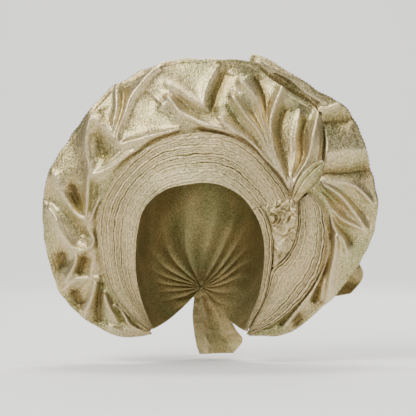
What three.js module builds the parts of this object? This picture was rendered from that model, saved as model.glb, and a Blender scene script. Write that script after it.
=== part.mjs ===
// Tied gele head tie: one long stiff shimmering cloth, finely pleated along one side and wound round the head.
// The pleats frame the face as an arch and a side lobe, the rest of the width stands out as two ruffled fans,
// and the cloth is gathered into a crumpled knot over one temple. A plain cap closes the back.
//
// Millimetres. +X is the wearer's left, +Y the back of the head, +Z up. The origin is the crown of the head,
// where the cap sits. Every pleat and fan is a sheet whose depth is worked out from x and z.
import * as THREE from "three";

// Driving sizes
const FACE_CENTRE_Z = -106; // height of the middle of the face opening
const FACE_RADIUS = 80; // the opening's usual radius
const BROW_Y = -62; // depth of the opening's edge on the forehead
const NAPE_Y = 10; // depth that the edge would reach straight below the chin
const FLARE = 0.25; // the fans lean back by this much of their reach
const CLOTH = 1.6; // wall of the cloth, measured along Y
const GAP = 0.8; // free space between neighbouring layers
const PLEAT_STACK = 6; // depth of the wound pleats
const PLEAT_RELIEF = 1.8; // depth of the groove between two pleats
const CREST = 1.2; // rounding of a fold's crest
const FOLD_START = 0.15; // share of a fan's free width over which its folds rise
const TUCK_CLEAR = 1.5; // the fans lie flat until they are this far out from under the arch
const HEAD = { x: 81, y: 101, z: 120, centreZ: -118 }; // half axes of the cap and the height of its centre
const NAPE_DIRECTION = new THREE.Vector3(0, 0.95, -0.31).normalize(); // where the cap's gathers meet

// Rows of numbers under named columns, as a list of objects.
function table(columns, rows) {
  return rows.map((row) => Object.fromEntries(columns.map((column, k) => [column, row[k]])));
}

// The face opening and the pleated arch, in polar sizes round the face centre.
// Angles run clockwise from straight above.
const ARCH = table(
  ["angle", "inner", "outer"],
  [
    [-148, 111, 117],
    [-136, 99, 118],
    [-122, 89, 120],
    [-107, 82, 120],
    [-90, 78, 122],
    [-72, 79, 129],
    [-53, 84, 134],
    [-33, 84, 137],
    [-10, 80, 140],
    [10, 81, 140],
    [27, 81, 134],
    [40, 80, 127],
    [52, 78, 124],
    [62, 78, 123],
  ],
);
const ARCH_END = { inner: 51, outer: 62 }; // angles at which the pleats end on a slanted line at the knot

// The innermost pleats alone go on down the cheek, starting on the same slanted line.
const CHEEK = table(
  ["angle", "inner", "outer"],
  [
    [52, 78, 89],
    [65, 77, 88],
    [78, 76, 87],
    [92, 76, 86],
    [112, 80, 89],
    [133, 92, 100],
    [144, 101, 107],
    [151, 110, 115],
  ],
);
const CHEEK_START = { inner: 51.5, outer: 54.3 };

// Sections across the side lobe of pleats, from the knot down to the jaw. Its inner edge comes down to the
// cheek pleats and then follows them.
const LOBE = table(
  ["innerX", "innerZ", "outerX", "outerZ"],
  [
    [118, -46, 131, -36],
    [118, -61, 143, -50],
    [117, -79, 149, -74],
    [113, -96, 150, -98],
    [106, -110, 146, -121],
    [96, -121, 138, -142],
    [86, -132, 125, -162],
    [82.5, -145, 109, -179],
    [79, -160, 92, -193],
    [73, -176, 76, -202],
    [66, -190, 62, -208],
    [60, -201, 55, -210],
  ],
);

// Sections across the crown fan, from the jaw over the top to the knot. The root is tucked behind the arch.
const CROWN_FAN = table(
  ["rootX", "rootZ", "rimX", "rimZ"],
  [
    [-66, -201, -60, -209],
    [-78, -190, -77, -212],
    [-89, -176, -103, -209],
    [-101, -159, -136, -188],
    [-110, -137, -167, -156],
    [-115, -111, -184, -116],
    [-117, -84, -190, -70],
    [-112, -50, -182, -16],
    [-97, -21, -155, 34],
    [-73, 2, -112, 83],
    [-44, 18, -60, 114],
    [-13, 26, -19, 124],
    [15, 26, 22, 124],
    [41, 17, 60, 120],
    [66, 0, 91, 94],
    [85, -22, 122, 76],
    [97, -37, 141, 62],
    [104, -45, 147, 38],
    [109, -50, 145, 4],
  ],
);

// Sections across the side fan, from its top corner down to the right jaw. "back" sets it behind the crown
// fan, and "cover" is the share of its width that lies behind other cloth.
const SIDE_FAN = table(
  ["rootX", "rootZ", "rimX", "rimZ", "back", "cover"],
  [
    [90, -30, 64, 132, 8, 0.92],
    [96, -35, 96, 114, 8, 0.87],
    [101, -40, 137, 88, 8, 0.88],
    [98, -41, 172, 67, 7, 0.66],
    [86, -44, 193, 29, 6, 0.53],
    [74, -53, 209, -19, 4, 0.52],
    [75, -66, 215, -53, 3, 0.55],
    [83, -81, 209, -88, 2, 0.55],
    [84, -95, 193, -122, 1, 0.62],
    [84, -109, 173, -150, 0, 0.66],
    [82, -122, 150, -174, 0, 0.7],
    [80, -140, 121, -196, 0, 0.72],
    [77, -159, 94, -209, 0, 0.76],
    [71, -177, 74, -212, 0, 0.8],
    [61, -198, 58, -211, 0, 0.95],
  ],
);

// A fold is a ridge between two points seen from the front, or a valley where its heights are below zero.
// "bow" bends it to the right of its run from point 0 to point 1, and "skew" widens its right side.
const FOLD_COLUMNS = ["x0", "z0", "x1", "z1", "bow", "height0", "height1", "width0", "width1", "skew"];

const CROWN_FOLDS = table(FOLD_COLUMNS, [
  // gathers that spread from the knot
  [113, -36, 136, 41, -3, 2, 8, 2, 6, 0],
  [110, -31, 115, 46, 2, 1, 4, 1.5, 4, 0],
  [105, -36, 99, 80, -10, 2, 9, 2, 8, 0.2],
  [99, -29, 83, 46, -4, 2, 5, 1.6, 4, 0],
  [96, -26, 64, 74, -4, 2, 8, 2, 6, 0],
  [89, -20, 47, 71, -3, 2, 7, 2, 5, 0],
  [83, -14, 22, 58, 4, 2, 8, 2, 5, 0],
  [73, -1, -5, 53, 4, 2, 9, 2, 6, 0.3],
  [-5, 53, -40, 76, 0, 9, 5, 6, 6, 0],
  // broad scoop over the brow
  [-36, 96, 2, 72, 0, 5, 5, 6, 6, 0],
  [19, 120, 2, 72, 0, 2, 5, 7, 7, 0],
  [28, 104, 18, 65, 0, -5, -6, 5, 5, 0],
  [-53, 113, -101, 25, 6, 5, 9, 5, 7, 0.4],
  [-98, 89, -106, 38, 0, 4, 6, 4, 4, 0],
  [-92, 84, -104, 31, 0, -6, -7, 3, 3, 0],
  // zigzag folds at the upper left
  [-134, 50, -108, 35, 0, 7, 5, 5, 5, 0],
  [-97, 19, -44, 36, 4, 6, 3, 3.5, 3.5, 0],
  [-134, 49, -134, -10, 2, 7, 7, 5, 5, 0],
  [-136, -12, -138, -66, 0, 7, 6, 4.5, 4.5, 0],
  [-116, -10, -91, 14, 0, 5, 4, 2.5, 2.5, 0],
  [-132, -14, -116, -13, 0, 6, 5, 3, 3, 0],
  [-124, -26, -130, -52, 0, -7, -4, 4, 4, 0],
  // swags down the left side
  [-173, -18, -138, -68, 9, 5, 7, 5, 5, 0],
  [-154, -41, -146, -53, 0, -5, -5, 7, 7, 0],
  [-185, -55, -151, -104, 3, 4, 7, 5, 5, 0],
  [-151, -104, -132, -98, 2, 7, 5, 4, 4, 0],
  [-131, -97, -134, -71, 0, 5, 5, 3, 3, 0],
  [-140, -114, -146, -126, 0, -6, -6, 5, 5, 0],
  [-152, -108, -160, -139, 0, 6, 4, 5, 5, 0],
  [-166, -149, -122, -133, 2, 3, 5, 4, 4, 0.3],
  [-124, -148, -124, -186, 0, -5, -3, 3, 3, 0],
  [-119, -160, -100, -193, 0, 5, 4, 4, 4, 0],
  [-96, -180, -88, -199, 0, 4, 3, 2.5, 2.5, 0],
]);

const SIDE_FOLDS = table(FOLD_COLUMNS, [
  // rolls across the upper right
  [170, 67, 144, 62, 0, 3, 3, 4, 4, 0.3],
  [148, 49, 179, 52, 0, -4, -4, 6, 6, 0],
  [152, 12, 203, 14, 0, 6, 6, 14, 14, 0],
  [152, -11, 210, -12, 0, -6, -6, 7, 7, 0],
  // gathers that spread from the knot to the right
  [142, -20, 215, -37, 2, 3, 5, 2.5, 5, 0],
  [142, -23, 194, -74, -4, 4, 7, 3, 6, 0],
  [140, -29, 161, -54, 0, -6, -4, 4, 6, 0],
  [142, -40, 174, -108, -5, 4, 6, 2.5, 4, 0],
  // long folds that follow the lobe down
  [165, -94, 150, -168, -3, 6, 5, 5, 5, 0],
  [156, -76, 146, -154, -5, -7, -4, 4, 4, 0],
  [152, -64, 134, -154, -9, 4, 4, 2, 2, 0],
  [137, -148, 109, -192, 2, 4, 4, 3, 3, 0],
  [119, -175, 102, -197, 0, 4, 4, 2.5, 2.5, 0],
  [100, -191, 80, -204, 0, -4, -3, 3, 3, 0],
]);

// The leaf-shaped end tucked up from the knot, in front of the fans.
const TUCKED_LEAF = table(
  ["leftX", "leftZ", "rightX", "rightZ"],
  [
    [108, -44, 114, -49],
    [112, -30, 124, -38],
    [119, -17, 134, -29],
    [128, -6, 141, -20],
    [138, 0, 146, -10],
    [146, 2, 148, -3],
  ],
);
const LEAF_FRONT = 14; // how far the leaf's face stands before the dish

// Crumpled bunches below the gather: centre, half sizes and number of lumps round each.
const BUNCHES = table(
  ["name", "x", "z", "halfX", "halfDepth", "halfZ", "lumps"],
  [
    ["knot_puff", 94, -67, 13.8, 8, 15.5, 5],
    ["knot_fold", 112, -66, 3.6, 6, 17, 2],
    ["lower_puff", 98.5, -98.5, 11.5, 6.5, 13.5, 4],
  ],
);

const LUMP_DEPTH = 0.05; // share of a bunch's half size

// The two cloth ends behind, from the nape knot outwards: the two edges of each section and its depth.
const TAIL_COLUMNS = ["edgeX", "edgeZ", "otherX", "otherZ", "y"];
const SIDE_TAIL = table(TAIL_COLUMNS, [
  [20, -145, 20, -163, 108],
  [70, -127, 66, -166, 92],
  [125, -116, 118, -166, 58],
  [172, -116, 160, -164, 33],
  [192, -121, 183, -160, 24],
]);
const NAPE_TAIL = table(TAIL_COLUMNS, [
  [-8, -172.5, 10, -172.5, 107],
  [-11, -190, 32, -189, 103],
  [-9, -212, 44, -209, 98],
  [-6, -228, 52, -222, 94],
  [-2, -239, 40, -238, 91],
]);
const TIP_BULGE = 11; // the side tail's end is rounded out by this much
const NAPE_KNOT = { y: 110, z: -156.5, halfX: 18, halfY: 9.6, halfZ: 15 };

// Finishes
const PALE_GOLD = new THREE.MeshStandardMaterial({ color: 0xc9b896, roughness: 0.42, metalness: 0.45 });
const PLEAT_GOLD = new THREE.MeshStandardMaterial({ color: 0xb9a985, roughness: 0.55, metalness: 0.35 });
const BACK_GOLD = new THREE.MeshStandardMaterial({ color: 0xa39668, roughness: 0.5, metalness: 0.4 });

const clamp01 = (t) => THREE.MathUtils.clamp(t, 0, 1);
const { lerp, degToRad, smoothstep } = THREE.MathUtils;

// A smooth curve through two columns of a table, as x and z for a share u of its rows.
function curveThrough(rows, xColumn, zColumn) {
  const points = rows.map((row) => new THREE.Vector3(row[xColumn], 0, row[zColumn]));
  const curve = new THREE.CatmullRomCurve3(points, false, "centripetal");
  return (u) => curve.getPoint(clamp01(u));
}

// A smooth value from one column of a table, looked up by another column or by the share of its rows.
function valueBy(keys, values) {
  const cubic = new THREE.CubicInterpolant(keys, values, 1, [0]);
  const last = keys[keys.length - 1];
  return (key) => cubic.evaluate(THREE.MathUtils.clamp(key, keys[0], last))[0];
}

const columnOf = (rows, column) => rows.map((row) => row[column]);
const valueByAngle = (rows, column) => valueBy(columnOf(rows, "angle"), columnOf(rows, column));
const shares = (rows) => rows.map((row, k) => k / (rows.length - 1));
const valueAlong = (rows, column) => valueBy(shares(rows), columnOf(rows, column));

// Depth of the shallow dish that the front pieces lie on: it follows the face opening and leans back outwards.
function dishDepth(x, z) {
  const up = z - FACE_CENTRE_Z;
  const reach = Math.hypot(x, up);
  const overhead = (1 + up / Math.max(reach, 1)) / 2;
  return lerp(NAPE_Y, BROW_Y, overhead) + FLARE * (reach - FACE_RADIUS);
}

const archOuterAt = valueByAngle(ARCH, "outer");

function polarPoint(angle, radius) {
  const turn = degToRad(angle);
  return new THREE.Vector3(radius * Math.sin(turn), 0, FACE_CENTRE_Z + radius * Math.cos(turn));
}

// How far one fold lifts the cloth at a point seen from the front.
function foldLift(fold, x, z) {
  const alongX = fold.x1 - fold.x0;
  const alongZ = fold.z1 - fold.z0;
  const length = Math.hypot(alongX, alongZ);
  const fromX = x - fold.x0;
  const fromZ = z - fold.z0;
  const share = (fromX * alongX + fromZ * alongZ) / length ** 2;
  const t = clamp01(share);
  const overrun = (share - t) * length;
  const bend = fold.bow * 4 * t * (1 - t);
  const aside = (fromX * alongZ - fromZ * alongX) / length - bend;
  const side = aside > 0 ? 1 + fold.skew : 1 - fold.skew;
  const distance = Math.hypot(aside / side, overrun, CREST) - CREST;
  return lerp(fold.height0, fold.height1, t) * Math.exp(-distance / lerp(fold.width0, fold.width1, t));
}

// All the folds of a fan together. Ridges that meet blend into one another, and so do valleys.
function liftOf(folds, x, z) {
  const lifts = folds.map((fold) => foldLift(fold, x, z));
  const blend = (sign) => Math.cbrt(lifts.reduce((sum, lift) => sum + Math.max(sign * lift, 0) ** 3, 0));
  return blend(1) - blend(-1);
}

// A closed wall from two grids of points, a front and a back one, joined round their border.
function wall(columns, rows, frontAt, backAt) {
  const positions = [];
  for (const at of [frontAt, backAt])
    for (let i = 0; i <= columns; i++)
      for (let j = 0; j <= rows; j++) positions.push(...at(i / columns, j / rows).toArray());
  const sheet = (columns + 1) * (rows + 1);
  const front = (i, j) => i * (rows + 1) + j;
  const back = (i, j) => sheet + front(i, j);
  const index = [];
  const quad = (a, b, c, d) => index.push(a, b, c, a, c, d);
  for (let i = 0; i < columns; i++)
    for (let j = 0; j < rows; j++) {
      quad(front(i, j), front(i, j + 1), front(i + 1, j + 1), front(i + 1, j));
      quad(back(i, j), back(i + 1, j), back(i + 1, j + 1), back(i, j + 1));
    }
  for (let i = 0; i < columns; i++) {
    quad(front(i, 0), front(i + 1, 0), back(i + 1, 0), back(i, 0));
    quad(front(i, rows), back(i, rows), back(i + 1, rows), front(i + 1, rows));
  }
  for (let j = 0; j < rows; j++) {
    quad(front(0, j), back(0, j), back(0, j + 1), front(0, j + 1));
    quad(front(columns, j), front(columns, j + 1), back(columns, j + 1), back(columns, j));
  }
  return facingOut(positions, index);
}

// A geometry whose triangles all turn outwards, whichever way its grid was walked.
function facingOut(positions, index) {
  const [a, b, c] = [new THREE.Vector3(), new THREE.Vector3(), new THREE.Vector3()];
  let volume = 0;
  for (let k = 0; k < index.length; k += 3) {
    a.fromArray(positions, 3 * index[k]);
    b.fromArray(positions, 3 * index[k + 1]);
    c.fromArray(positions, 3 * index[k + 2]);
    volume += a.dot(b.cross(c));
  }
  if (volume < 0) index.reverse();
  const geometry = new THREE.BufferGeometry();
  geometry.setAttribute("position", new THREE.Float32BufferAttribute(positions, 3));
  geometry.setIndex(index);
  geometry.computeVertexNormals();
  return geometry;
}

// A wall given by its middle sheet, with half the cloth on each side along Y.
function clothWall(columns, rows, middleAt) {
  const shifted = (by) => (u, v) => middleAt(u, v).add(new THREE.Vector3(0, by, 0));
  return wall(columns, rows, shifted(-CLOTH / 2), shifted(CLOTH / 2));
}

// Pleated stacks: ridges that run along u, with a groove between each two across v.
function pleatRelief(v, pleats) {
  return PLEAT_RELIEF * (1 - Math.abs(Math.sin(Math.PI * v * pleats)));
}

function pleatWall(columns, pleats, spotAt) {
  const backOffset = -CLOTH / 2 - GAP;
  const at = (relief) => (u, v) => {
    const spot = spotAt(u, v);
    spot.y = dishDepth(spot.x, spot.z) + backOffset + relief(v);
    return spot;
  };
  const front = at((v) => pleatRelief(v, pleats) - PLEAT_STACK);
  const back = at(() => 0);
  return wall(columns, 2 * pleats, front, back);
}

// The pleated arch and the cheek pleats share the polar rule: u runs along them and v across.
function polarSpot(rows, start, end) {
  const innerAt = valueByAngle(rows, "inner");
  const outerAt = valueByAngle(rows, "outer");
  return (u, v) => {
    const angle = lerp(lerp(start.inner, start.outer, v), lerp(end.inner, end.outer, v), u);
    return polarPoint(angle, lerp(innerAt(angle), outerAt(angle), v));
  };
}

const squareEnd = (row) => ({ inner: row.angle, outer: row.angle });

function archGeometry() {
  return pleatWall(46, 6, polarSpot(ARCH, squareEnd(ARCH[0]), ARCH_END));
}

function cheekGeometry() {
  return pleatWall(24, 2, polarSpot(CHEEK, CHEEK_START, squareEnd(CHEEK[CHEEK.length - 1])));
}

function lobeGeometry() {
  const inner = curveThrough(LOBE, "innerX", "innerZ");
  const outer = curveThrough(LOBE, "outerX", "outerZ");
  return pleatWall(34, 5, (u, v) => inner(u).lerp(outer(u), v));
}

// The fans: sheets from a tucked root to a free rim, lifted by their folds once clear of what covers the root.
function fanGeometry(columns, tuckedRows, freeRows, sections, folds, coverAt, backAt) {
  const root = curveThrough(sections, "rootX", "rootZ");
  const rim = curveThrough(sections, "rimX", "rimZ");
  const rows = tuckedRows + freeRows;
  return clothWall(columns, rows, (u, v) => {
    const cover = coverAt(u, root(u), rim(u));
    const row = v * rows;
    const free = Math.max(row - tuckedRows, 0) / freeRows;
    const across = row < tuckedRows ? (cover * row) / tuckedRows : lerp(cover, 1, free);
    const spot = root(u).lerp(rim(u), across);
    const rise = smoothstep(free, 0, FOLD_START);
    spot.y = dishDepth(spot.x, spot.z) + backAt(u) - rise * liftOf(folds, spot.x, spot.z);
    return spot;
  });
}

// The share of a crown fan section that lies behind the arch.
function archCover(u, root, rim) {
  let inside = 0;
  let outside = 1;
  for (let step = 0; step < 12; step++) {
    const middle = (inside + outside) / 2;
    const spot = root.clone().lerp(rim, middle);
    const up = spot.z - FACE_CENTRE_Z;
    const edge = archOuterAt(THREE.MathUtils.radToDeg(Math.atan2(spot.x, up)));
    if (Math.hypot(spot.x, up) < edge + TUCK_CLEAR) inside = middle;
    else outside = middle;
  }
  return outside;
}

function crownFanGeometry() {
  return fanGeometry(74, 1, 9, CROWN_FAN, CROWN_FOLDS, archCover, () => 0);
}

function sideFanGeometry() {
  const cover = valueAlong(SIDE_FAN, "cover");
  const back = valueAlong(SIDE_FAN, "back");
  return fanGeometry(40, 2, 8, SIDE_FAN, SIDE_FOLDS, cover, back);
}

function leafGeometry() {
  const left = curveThrough(TUCKED_LEAF, "leftX", "leftZ");
  const right = curveThrough(TUCKED_LEAF, "rightX", "rightZ");
  const crown = 2.5; // the leaf is arched across its width
  return clothWall(10, 5, (u, v) => {
    const spot = left(u).lerp(right(u), v);
    spot.y = dishDepth(spot.x, spot.z) - LEAF_FRONT - crown * Math.sin(Math.PI * v);
    return spot;
  });
}

// A crumpled bunch: a ball with lumps, flattened where it lies on the sheet behind.
function bunchGeometry({ x, z, halfX, halfDepth, halfZ, lumps }) {
  const ball = new THREE.SphereGeometry(1, 14, 8);
  const spot = new THREE.Vector3();
  const place = ball.getAttribute("position");
  for (let k = 0; k < place.count; k++) {
    spot.fromBufferAttribute(place, k);
    const around = Math.atan2(spot.z, spot.x);
    const ripple = 1 - LUMP_DEPTH * (1 - Math.cos(lumps * around)) * Math.hypot(spot.x, spot.z);
    const px = x + halfX * spot.x * ripple;
    const pz = z + halfZ * spot.z * ripple;
    const seat = dishDepth(px, pz) - CLOTH / 2 - GAP - halfDepth;
    place.setXYZ(k, px, seat + halfDepth * spot.y * ripple, pz);
  }
  return weldedSphere(ball);
}

// SphereGeometry repeats its seam and poles, so its triangles are walked again on merged points.
function weldedSphere(ball) {
  const place = ball.getAttribute("position");
  const names = new Map();
  const positions = [];
  const merged = Array.from({ length: place.count }, (_, k) => {
    const key = [place.getX(k), place.getY(k), place.getZ(k)].map((value) => value.toFixed(3)).join(" ");
    if (!names.has(key)) {
      names.set(key, names.size);
      positions.push(place.getX(k), place.getY(k), place.getZ(k));
    }
    return names.get(key);
  });
  const old = ball.getIndex().array;
  const index = [];
  for (let k = 0; k < old.length; k += 3) {
    const [a, b, c] = [merged[old[k]], merged[old[k + 1]], merged[old[k + 2]]];
    if (a !== b && b !== c && c !== a) index.push(a, b, c);
  }
  return facingOut(positions, index);
}

// The cap: gathers run from just behind the face opening over the head to one point at the nape.
function capGeometry() {
  const opening = [...ARCH.slice(0, -2), ...CHEEK];
  const innerAt = valueByAngle(opening, "inner");
  const tuck = 3; // the cap's edge lies this far outside the opening, behind the pleats
  const nearPole = 0.985; // the gathers stop just short of the very point, under the nape knot
  const settled = 0.35; // share of the way by which the edge has eased onto the head's oval
  const centre = new THREE.Vector3(0, 0, HEAD.centreZ);
  const axes = new THREE.Vector3(HEAD.x, HEAD.y, HEAD.z);
  const at = (outward) => (u, v) => {
    const angle = lerp(opening[0].angle, opening[opening.length - 1].angle, u);
    const edge = polarPoint(angle, innerAt(angle) + tuck);
    edge.y = dishDepth(edge.x, edge.z) + CLOTH / 2;
    const from = edge.sub(centre).divide(axes);
    const grown = from.length();
    from.normalize();
    const way = v * nearPole;
    const turn = from.angleTo(NAPE_DIRECTION);
    const share = (part) => Math.sin(part * turn) / Math.sin(turn);
    const direction = from.multiplyScalar(share(1 - way)).addScaledVector(NAPE_DIRECTION, share(way));
    const size = lerp(grown, 1, smoothstep(way, 0, settled));
    const spot = direction.clone().multiplyScalar(size).multiply(axes).add(centre);
    const normal = direction.divide(axes).normalize();
    return spot.addScaledVector(normal, outward);
  };
  return wall(26, 7, at(0), at(CLOTH));
}

function tailGeometry(rows, ripple, tipBulge) {
  const edge = curveThrough(rows, "edgeX", "edgeZ");
  const other = curveThrough(rows, "otherX", "otherZ");
  const depth = valueAlong(rows, "y");
  return clothWall(10, 5, (u, v) => {
    const spot = edge(u).lerp(other(u), v);
    spot.x += tipBulge * Math.sin(Math.PI * v) * u ** 4;
    spot.y = depth(u) + ripple * u * Math.sin(2 * Math.PI * v);
    return spot;
  });
}

function napeKnotGeometry() {
  const ball = new THREE.SphereGeometry(1, 14, 8);
  ball.scale(NAPE_KNOT.halfX, NAPE_KNOT.halfY, NAPE_KNOT.halfZ);
  ball.translate(0, NAPE_KNOT.y, NAPE_KNOT.z);
  return weldedSphere(ball);
}

const gele = new THREE.Group();

function addPiece(name, geometry, material) {
  const mesh = new THREE.Mesh(geometry, material);
  mesh.name = name;
  gele.add(mesh);
}

addPiece("pleat_arch", archGeometry(), PLEAT_GOLD);
addPiece("cheek_pleats", cheekGeometry(), PLEAT_GOLD);
addPiece("side_pleats", lobeGeometry(), PLEAT_GOLD);
addPiece("crown_fan", crownFanGeometry(), PALE_GOLD);
addPiece("side_fan", sideFanGeometry(), PALE_GOLD);
addPiece("tucked_leaf", leafGeometry(), PALE_GOLD);
for (const bunch of BUNCHES) addPiece(bunch.name, bunchGeometry(bunch), PALE_GOLD);
addPiece("head_cap", capGeometry(), BACK_GOLD);
addPiece("nape_knot", napeKnotGeometry(), BACK_GOLD);
addPiece("side_tail", tailGeometry(SIDE_TAIL, 4, TIP_BULGE), BACK_GOLD);
addPiece("nape_tail", tailGeometry(NAPE_TAIL, 3, 0), BACK_GOLD);

export default gele;
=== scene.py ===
"""Tied gele head tie: pleats that frame the face, ruffled fans, a crumpled knot and a plain cap.

The tables hold millimetres as seen from the front, x to the right and z up. Depth is worked out from x and z,
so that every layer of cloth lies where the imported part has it.
"""
import math

import bmesh
import bpy
import numpy as np
from bpy.props import FloatProperty, FloatVectorProperty, IntProperty, PointerProperty
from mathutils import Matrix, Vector


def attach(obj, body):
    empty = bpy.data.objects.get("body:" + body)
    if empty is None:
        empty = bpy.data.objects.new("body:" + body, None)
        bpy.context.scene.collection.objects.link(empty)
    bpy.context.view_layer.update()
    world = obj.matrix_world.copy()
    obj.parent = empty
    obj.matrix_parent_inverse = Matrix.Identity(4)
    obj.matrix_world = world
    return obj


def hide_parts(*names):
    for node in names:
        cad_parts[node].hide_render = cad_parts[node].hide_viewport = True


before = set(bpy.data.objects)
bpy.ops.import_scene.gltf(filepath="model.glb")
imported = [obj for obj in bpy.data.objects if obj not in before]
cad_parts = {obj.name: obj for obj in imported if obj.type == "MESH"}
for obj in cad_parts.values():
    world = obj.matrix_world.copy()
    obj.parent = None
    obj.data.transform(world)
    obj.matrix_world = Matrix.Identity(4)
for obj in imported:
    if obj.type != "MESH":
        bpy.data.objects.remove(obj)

bl_info = {
    "name": "Tied gele head tie",
    "version": (1, 0, 0),
    "blender": (4, 5, 0),
    "location": "3D View > Sidebar > Gele",
    "description": "Models a tied head wrap with pleats, ruffled fans and a crumpled knot",
    "category": "Object",
}

BODY = "root"
MM = 0.001
TAU = 2 * math.pi

# The dish that the front pieces lie on, in millimetres
FACE_CENTRE_Z = -106.0
FACE_RADIUS = 80.0
BROW_Y = -62.0
NAPE_Y = 10.0
FLARE = 0.25
LAYER_GAP = 0.8
FAN_WALL = 1.6

PLEAT_STACK = 6.0  # height of a stack of pleats at its edges
PLEAT_BACK_SHADE = 0.3  # how pale the hidden back of a stack is
RIM_TOOTH = 0.6  # height of the fine teeth along a fan's rim
RIM_WAVE = 0.6  # height of the soft waves along a fan's rim
HEM_WIDTH = 6.0
GATHER_RAYS = 34  # small ridges round a gathering point
RAY_REACH = 16.0  # how far the small ridges run from the knot
RAY_HEIGHT = 1.6
PAINTED_LIGHT_BASE = 0.4  # painted light of a fan's level cloth
KNOT_PAINTED_LIGHT = 0.25  # how much more painted light it gets at its gathering point
RELIEF_FULL = 11.0  # height above the cloth close by that gives a crest the full painted highlight
HEIGHT_FULL = 70.0  # the same for the height above the dish
CROWN_RUFFLE = 1.6
SIDE_RUFFLE = 1.4
EDGE_DROP = 3.5  # how far the crown fan's end lies down on the cloth behind it
EDGE_FLATTEN = 0.85  # share of its folds that is lost there
CREST = 1.4  # rounding of a fold's crest
VALLEY = 3.8  # rounding of the bottom of a valley
FOLD_SPREAD = 1.7  # how far a fold shapes the cloth beside it, for each millimetre of its width
FOLD_SHARPNESS = 1.7
FOLD_STEPS = 3  # straight steps between two points of a fold
RELIEF_BLUR = 7.0  # how much softer the cloth is to which the folds are compared for their shade
FOLD_END = 0.3  # share of a fold's pull that is left at its ends
GATHER_REACH = 45.0  # how far from the knot the tight gathers get extra painted light
KNOT = (109.0, -46.0)  # where the crown fan is gathered
SIDE_KNOT = (124.0, -38.0)  # where the side fan is gathered
HEAD = {"x": 81.0, "y": 101.0, "z": 120.0, "centre_z": -118.0}
NAPE_DIRECTION = (0.0, 0.95, -0.31)
CAP_CLOSE = 0.985  # share of the way to the nape at which the cap's gathers are sewn shut


def table(columns, rows):
    """Rows of numbers as one array for each named column."""
    return {name: np.array(values, float) for name, values in zip(columns.split(), zip(*rows))}


ARCH = table("angle inner outer", [
    (-148, 111, 117), (-136, 99, 118), (-122, 89, 120), (-107, 82, 120), (-90, 78, 122),
    (-72, 79, 129), (-53, 84, 134), (-33, 84, 137), (-10, 80, 140), (10, 81, 140),
    (27, 81, 134), (40, 80, 127), (52, 78, 124), (62, 78, 123),
])
ARCH_END = (51.0, 62.0)  # angles of the slanted end at the knot, inside and outside

CHEEK = table("angle inner outer", [
    (52, 78, 89), (65, 77, 88), (78, 76, 87), (92, 76, 86),
    (112, 80, 89), (133, 92, 100), (144, 101, 107), (151, 110, 115),
])
CHEEK_START = (51.5, 54.3)

CHEEK_GAP = 0.7  # space left between the cheek pleats and what lies beside them


def beside_cheek(angle):
    """The point just outside the cheek pleats at that angle."""
    turn = math.radians(angle)
    radius = float(np.interp(angle, CHEEK["angle"], CHEEK["outer"])) + CHEEK_GAP
    return radius * math.sin(turn), FACE_CENTRE_Z + radius * math.cos(turn)


LOBE = table("inner_x inner_z outer_x outer_z", [
    (118, -46, 131, -36), (118, -61, 143, -50), (117, -79, 149, -74), (113, -96, 150, -98),
    (106, -110, 146, -121), (96, -121, 138, -142), (*beside_cheek(106), 125, -162),
    (*beside_cheek(115), 109, -179), (*beside_cheek(124), 92, -193), (*beside_cheek(133), 76, -202),
    (*beside_cheek(141), 62, -208), (*beside_cheek(148), 55, -210),
])

CROWN_FAN = table("root_x root_z rim_x rim_z", [
    (-66, -201, -60, -209), (-78, -190, -77, -212), (-89, -176, -105, -210), (-101, -159, -146, -188),
    (-110, -137, -173, -156), (-115, -111, -186, -116), (-117, -84, -192, -70), (-112, -50, -186, -17),
    (-97, -21, -155, 34), (-73, 2, -112, 86), (-44, 18, -60, 114), (-13, 26, -19, 124),
    (15, 26, 22, 124), (41, 17, 60, 120), (66, 0, 91, 94), (85, -22, 122, 76),
    (97, -37, 141, 62), (104, -45, 147, 38), (109, -50, 145, 4),
])

SIDE_FAN = table("root_x root_z rim_x rim_z back cover", [
    (89, -29, 55, 112, 8, 0.93), (90, -30, 64, 132, 8, 0.92), (96, -35, 97, 115, 8, 0.87),
    (101, -40, 138, 89, 8, 0.88), (98, -41, 174, 68, 7, 0.66), (86, -44, 196, 30, 6, 0.53),
    (71, -54, 209, -19, 4, 0.52),
    (75, -66, 215, -53, 3, 0.55), (83, -81, 209, -88, 2, 0.55), (84, -95, 193, -122, 1, 0.62),
    (84, -109, 173, -150, 0, 0.66), (82, -122, 150, -174, 0, 0.7), (80, -140, 123, -198, 0, 0.72),
    (74, -157, 96, -211, 0, 0.76), (69, -175, 74, -212, 0, 0.8), (59.5, -195.5, 58, -211, 0, 0.95),
])


def fold(start, end, reach, *points):
    """A fold through its points. Its height, below zero for a valley, goes from start to end.

    It shapes the cloth beside it for about the distance reach.
    """
    return {"start": start, "end": end, "reach": reach, "points": points}


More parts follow.
